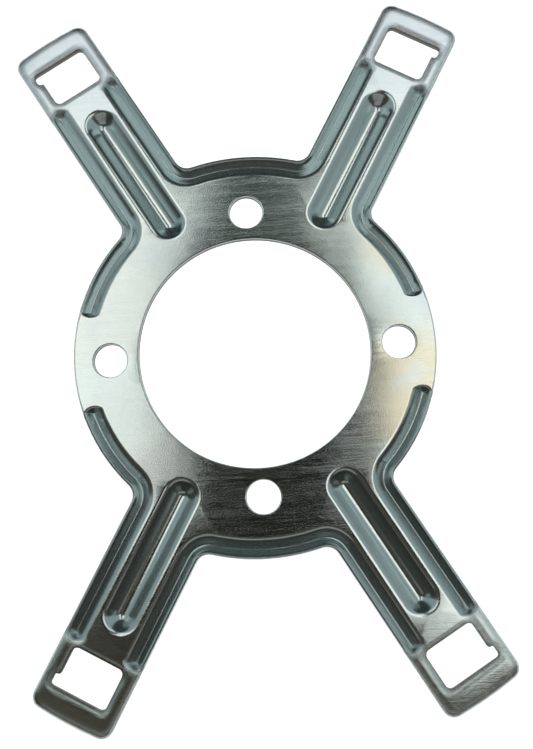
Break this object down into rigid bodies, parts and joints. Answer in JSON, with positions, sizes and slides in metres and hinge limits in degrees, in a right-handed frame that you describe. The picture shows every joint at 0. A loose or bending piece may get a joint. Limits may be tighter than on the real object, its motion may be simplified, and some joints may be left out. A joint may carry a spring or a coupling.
{
  "type": "transaxle mounting bracket",
  "caption": "Pressed steel mounting bracket: a flat ring with a large centre hole and bolt holes, and ribbed arms in an X with a notched window near each tip.",
  "frame": {"origin": "on the axis of the centre hole, in the plane of the upper face of the ring", "axes": "+Z out of the upper face, +Y along the bracket's long axis, between two arms; the grooves and beads are pressed towards -Z"},
  "size_m": [0.1216, 0.1902, 0.0049],
  "materials": {
    "zinc_steel": "bright zinc plate over fine-brushed steel sheet, with a faint straw and blue tint"
  },
  "bodies": {
    "root": {"bracket": "zinc_steel"}
  },
  "joints": []
}
